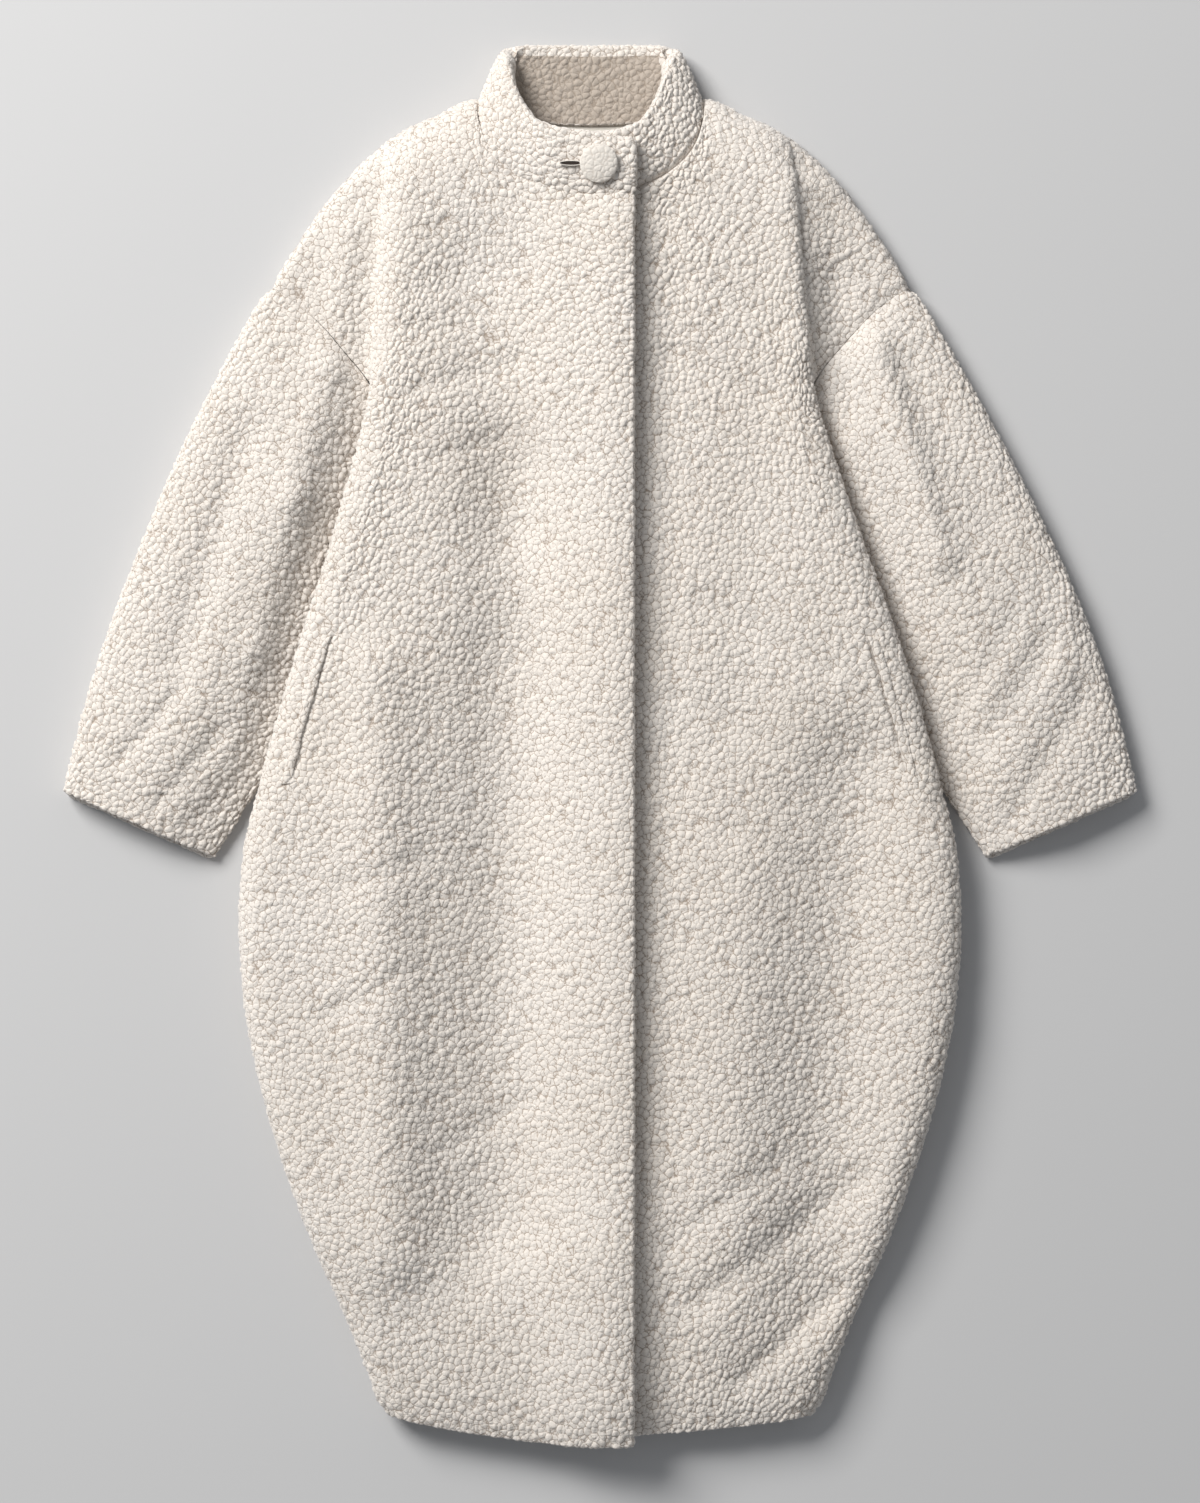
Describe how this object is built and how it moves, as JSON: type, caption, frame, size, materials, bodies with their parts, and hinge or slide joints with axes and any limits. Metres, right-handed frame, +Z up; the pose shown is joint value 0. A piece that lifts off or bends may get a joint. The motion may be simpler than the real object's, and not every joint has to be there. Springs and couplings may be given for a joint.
{
  "type": "cocoon coat",
  "caption": "Cocoon coat of nubby ivory wool laid flat on its back, with a buttoned stand collar, wide sleeves and slanted welt pockets.",
  "frame": {"origin": "centre of the coat's underside, on the surface that it lies on", "axes": "+Y from the hem to the collar, +X towards the wearer's left side, +Z up from the surface that the coat lies on"},
  "size_m": [0.9096, 1.1799, 0.0647],
  "materials": {
    "boucle": "nubby wool boucle, matt",
    "cover": "cloth-covered button, matt",
    "facing": "smooth facing cloth, soft sheen"
  },
  "bodies": {
    "root": {"back": "boucle", "front_right": "boucle", "front_left": "boucle", "sleeve_right": "boucle", "sleeve_left": "boucle", "collar": "boucle", "pocket_welt_right": "boucle", "pocket_welt_left": "boucle", "button": "cover", "back_neck_facing": "facing"}
  },
  "joints": []
}
